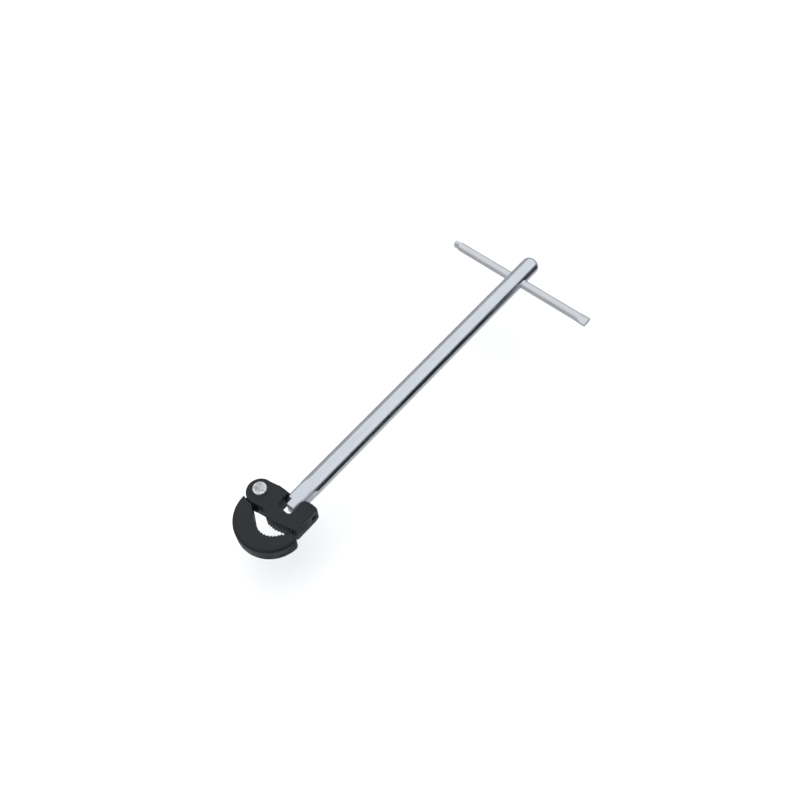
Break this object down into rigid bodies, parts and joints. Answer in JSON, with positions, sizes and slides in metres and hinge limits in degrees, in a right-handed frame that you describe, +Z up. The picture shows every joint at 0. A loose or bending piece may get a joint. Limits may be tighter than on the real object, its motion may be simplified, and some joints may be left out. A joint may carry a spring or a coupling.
{
  "type": "basin wrench",
  "caption": "Long-shafted plumbing wrench with a tilting head, a sprung toothed jaw and a sliding T-bar handle for turning nuts in tight spaces.",
  "frame": {"origin": "on the surface that the wrench lies on, below the middle of its box", "axes": "+X along the shaft from the head to the T-bar, +Y towards the side of the head that carries the jaw rivet, +Z up, along the rivet"},
  "size_m": [0.2806, 0.112, 0.0165],
  "materials": {
    "plated_shaft": "bright nickel plate",
    "plated_bar": "satin zinc plate",
    "black_oxide": "matte black oxide on forged steel",
    "zinc": "zinc plate",
    "spring_steel": "oiled steel"
  },
  "bodies": {
    "shaft": {"shaft": "plated_shaft"},
    "t_bar": {"t_bar": "plated_bar"},
    "head": {"head_base": "black_oxide", "jaw_rivet": "zinc", "jaw_spring": "spring_steel", "pivot_pin": "spring_steel", "pivot_spring": "spring_steel"},
    "jaw": {"jaw": "black_oxide"}
  },
  "joints": [
    {"name": "head_tilt", "type": "hinge", "parent": "shaft", "child": "head", "pos_m": [-0.1017, 0.00265, 0.007], "axis": [0, 1, 0], "range_deg": [-90, 90]},
    {"name": "jaw_swing", "type": "hinge", "parent": "head", "child": "jaw", "pos_m": [-0.1105, 0.02125, 0.007], "axis": [0, 0, -1], "range_deg": [0, 60], "stiffness_Nm_per_rad": 0.15, "springref_deg": -34.38, "deforming": ["jaw_spring"]},
    {"name": "tbar_slide", "type": "slide", "parent": "shaft", "child": "t_bar", "axis": [0, 1, 0], "range_m": [-0.0405, 0.0435]}
  ]
}
